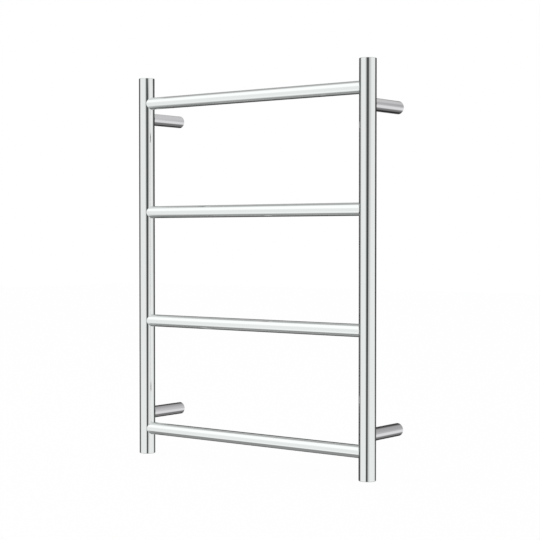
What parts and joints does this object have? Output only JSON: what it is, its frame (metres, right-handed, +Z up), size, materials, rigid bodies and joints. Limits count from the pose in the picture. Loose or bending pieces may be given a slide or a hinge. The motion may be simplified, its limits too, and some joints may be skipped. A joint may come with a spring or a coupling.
{
  "type": "towel warmer rack",
  "caption": "Wall-hung electric towel rail: round cross bars between round uprights, on short legs that slip over wall bosses and lock with grub screws.",
  "frame": {"origin": "on the wall plane, in the middle of the four wall-screw holes", "axes": "+Z up along the uprights, +Y into the wall, +X to the right seen from the room"},
  "size_m": [0.45, 0.0925, 0.6],
  "materials": {
    "polished_tube": "mirror-polished stainless steel tube",
    "polished_leg": "mirror-polished stainless steel tube, thick walled",
    "polished_cap": "polished stainless steel, turned",
    "turned_steel": "turned stainless steel",
    "screw_steel": "stainless steel, machined",
    "cable_jacket": "silicone rubber jacket",
    "white_silicone": "moulded silicone rubber",
    "shrink_sleeve": "heat-shrink tube",
    "tinned_copper": "tin-plated copper",
    "cutout_case": "pressed metal case",
    "earth_insulation": "green and yellow insulation",
    "brass_screw": "machined brass"
  },
  "bodies": {
    "wall_bosses": {"bottom_left_wall_boss": "turned_steel", "bottom_right_wall_boss": "turned_steel", "top_left_wall_boss": "turned_steel", "top_right_wall_boss": "turned_steel"},
    "rail": {"bottom_bar": "polished_tube", "lower_bar": "polished_tube", "upper_bar": "polished_tube", "top_bar": "polished_tube", "left_upright": "polished_tube", "right_upright": "polished_tube", "bottom_left_leg": "polished_leg", "bottom_left_end_cap": "polished_cap", "bottom_right_leg": "polished_leg", "bottom_right_end_cap": "polished_cap", "top_left_leg": "polished_leg", "top_left_end_cap": "polished_cap", "top_right_leg": "polished_leg", "top_right_end_cap": "polished_cap", "heating_cable": "cable_jacket", "cable_guides": "white_silicone", "cable_end_boot": "white_silicone", "cord_grip": "white_silicone", "joint_sleeve": "shrink_sleeve", "crimp_ferrules": "tinned_copper", "thermal_cutout": "cutout_case", "earth_wire": "earth_insulation", "earth_lug": "tinned_copper", "earth_screw": "brass_screw"},
    "bottom_left_grub": {"bottom_left_grub_screw": "screw_steel"},
    "bottom_right_grub": {"bottom_right_grub_screw": "screw_steel"},
    "top_left_grub": {"top_left_grub_screw": "screw_steel"},
    "top_right_grub": {"top_right_grub_screw": "screw_steel"}
  },
  "joints": [
    {"name": "rail_slide", "type": "slide", "parent": "wall_bosses", "child": "rail", "axis": [0, -1, 0], "range_m": [0, 0.02]},
    {"name": "bottom_left_grub_back_off", "type": "slide", "parent": "rail", "child": "bottom_left_grub", "axis": [0, 0, -1], "range_m": [0, 0.0015]},
    {"name": "bottom_right_grub_back_off", "type": "slide", "parent": "rail", "child": "bottom_right_grub", "axis": [0, 0, -1], "range_m": [0, 0.0015]},
    {"name": "top_left_grub_back_off", "type": "slide", "parent": "rail", "child": "top_left_grub", "axis": [0, 0, -1], "range_m": [0, 0.0015]},
    {"name": "top_right_grub_back_off", "type": "slide", "parent": "rail", "child": "top_right_grub", "axis": [0, 0, -1], "range_m": [0, 0.0015]}
  ]
}
